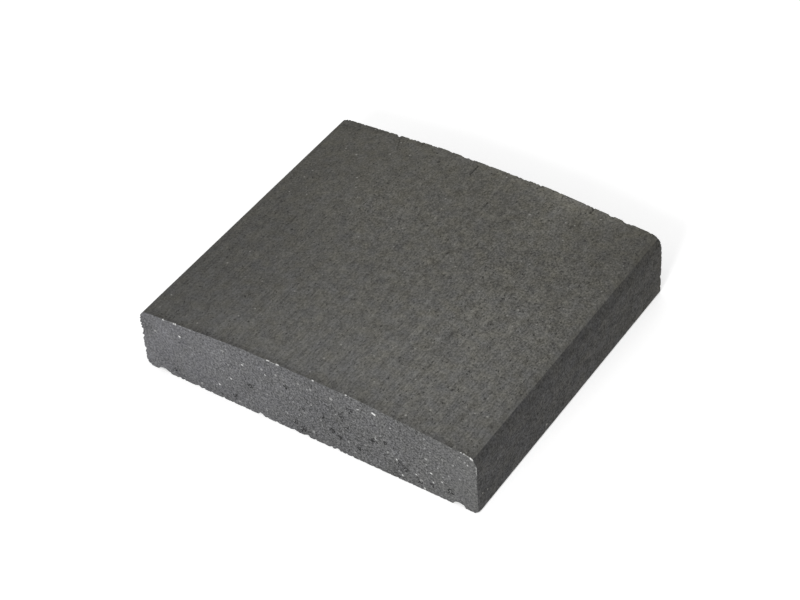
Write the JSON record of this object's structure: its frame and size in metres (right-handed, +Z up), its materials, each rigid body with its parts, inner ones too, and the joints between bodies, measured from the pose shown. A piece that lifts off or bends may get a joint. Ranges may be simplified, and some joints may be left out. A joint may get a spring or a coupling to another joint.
{
  "type": "coping stone",
  "caption": "Slab of dark concrete with a flat crown, gently sloped margins, rounded long edges and drip grooves underneath, laid along the top of a wall to shed rain.",
  "frame": {"origin": "middle of the bed face, on the surface the stone lies on", "axes": "+X across the wall, +Y along the wall, from cut end to cut end, +Z up"},
  "size_m": [0.28, 0.25, 0.06],
  "materials": {
    "anthracite_concrete": "matte"
  },
  "bodies": {
    "root": {"coping_stone": "anthracite_concrete"}
  },
  "joints": []
}
